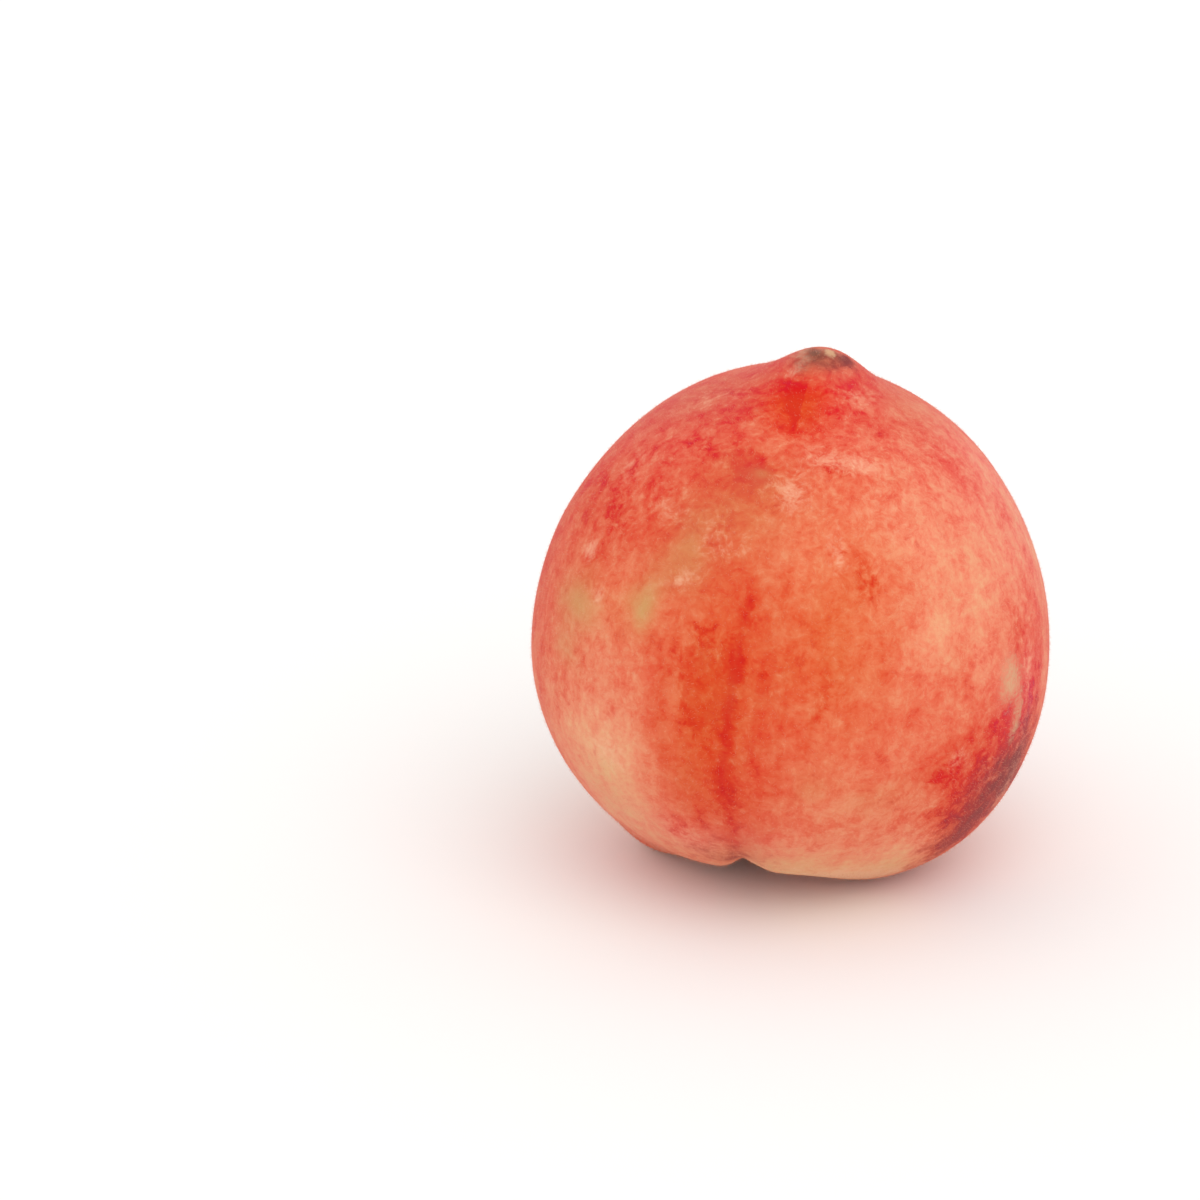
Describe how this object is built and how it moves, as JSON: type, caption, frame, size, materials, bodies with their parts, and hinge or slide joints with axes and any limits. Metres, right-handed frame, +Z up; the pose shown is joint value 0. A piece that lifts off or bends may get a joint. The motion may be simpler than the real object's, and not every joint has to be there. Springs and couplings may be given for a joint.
{
  "type": "peach",
  "caption": "Whole downy peach: a round fruit with a pointed beak, a suture down one side and a hollow at the foot where the stem was, standing on its own shoulders.",
  "frame": {"origin": "on the surface that the fruit stands on, under the middle of its box", "axes": "+Z up, from the foot to the beak; -Y towards the side with the suture; +X to the side that the beak leans to"},
  "size_m": [0.0802, 0.079, 0.0831],
  "materials": {
    "skin": "soft matt skin under a fine pale down, red-orange flushed over a yellow ground"
  },
  "bodies": {
    "root": {"peach": "skin"}
  },
  "joints": []
}
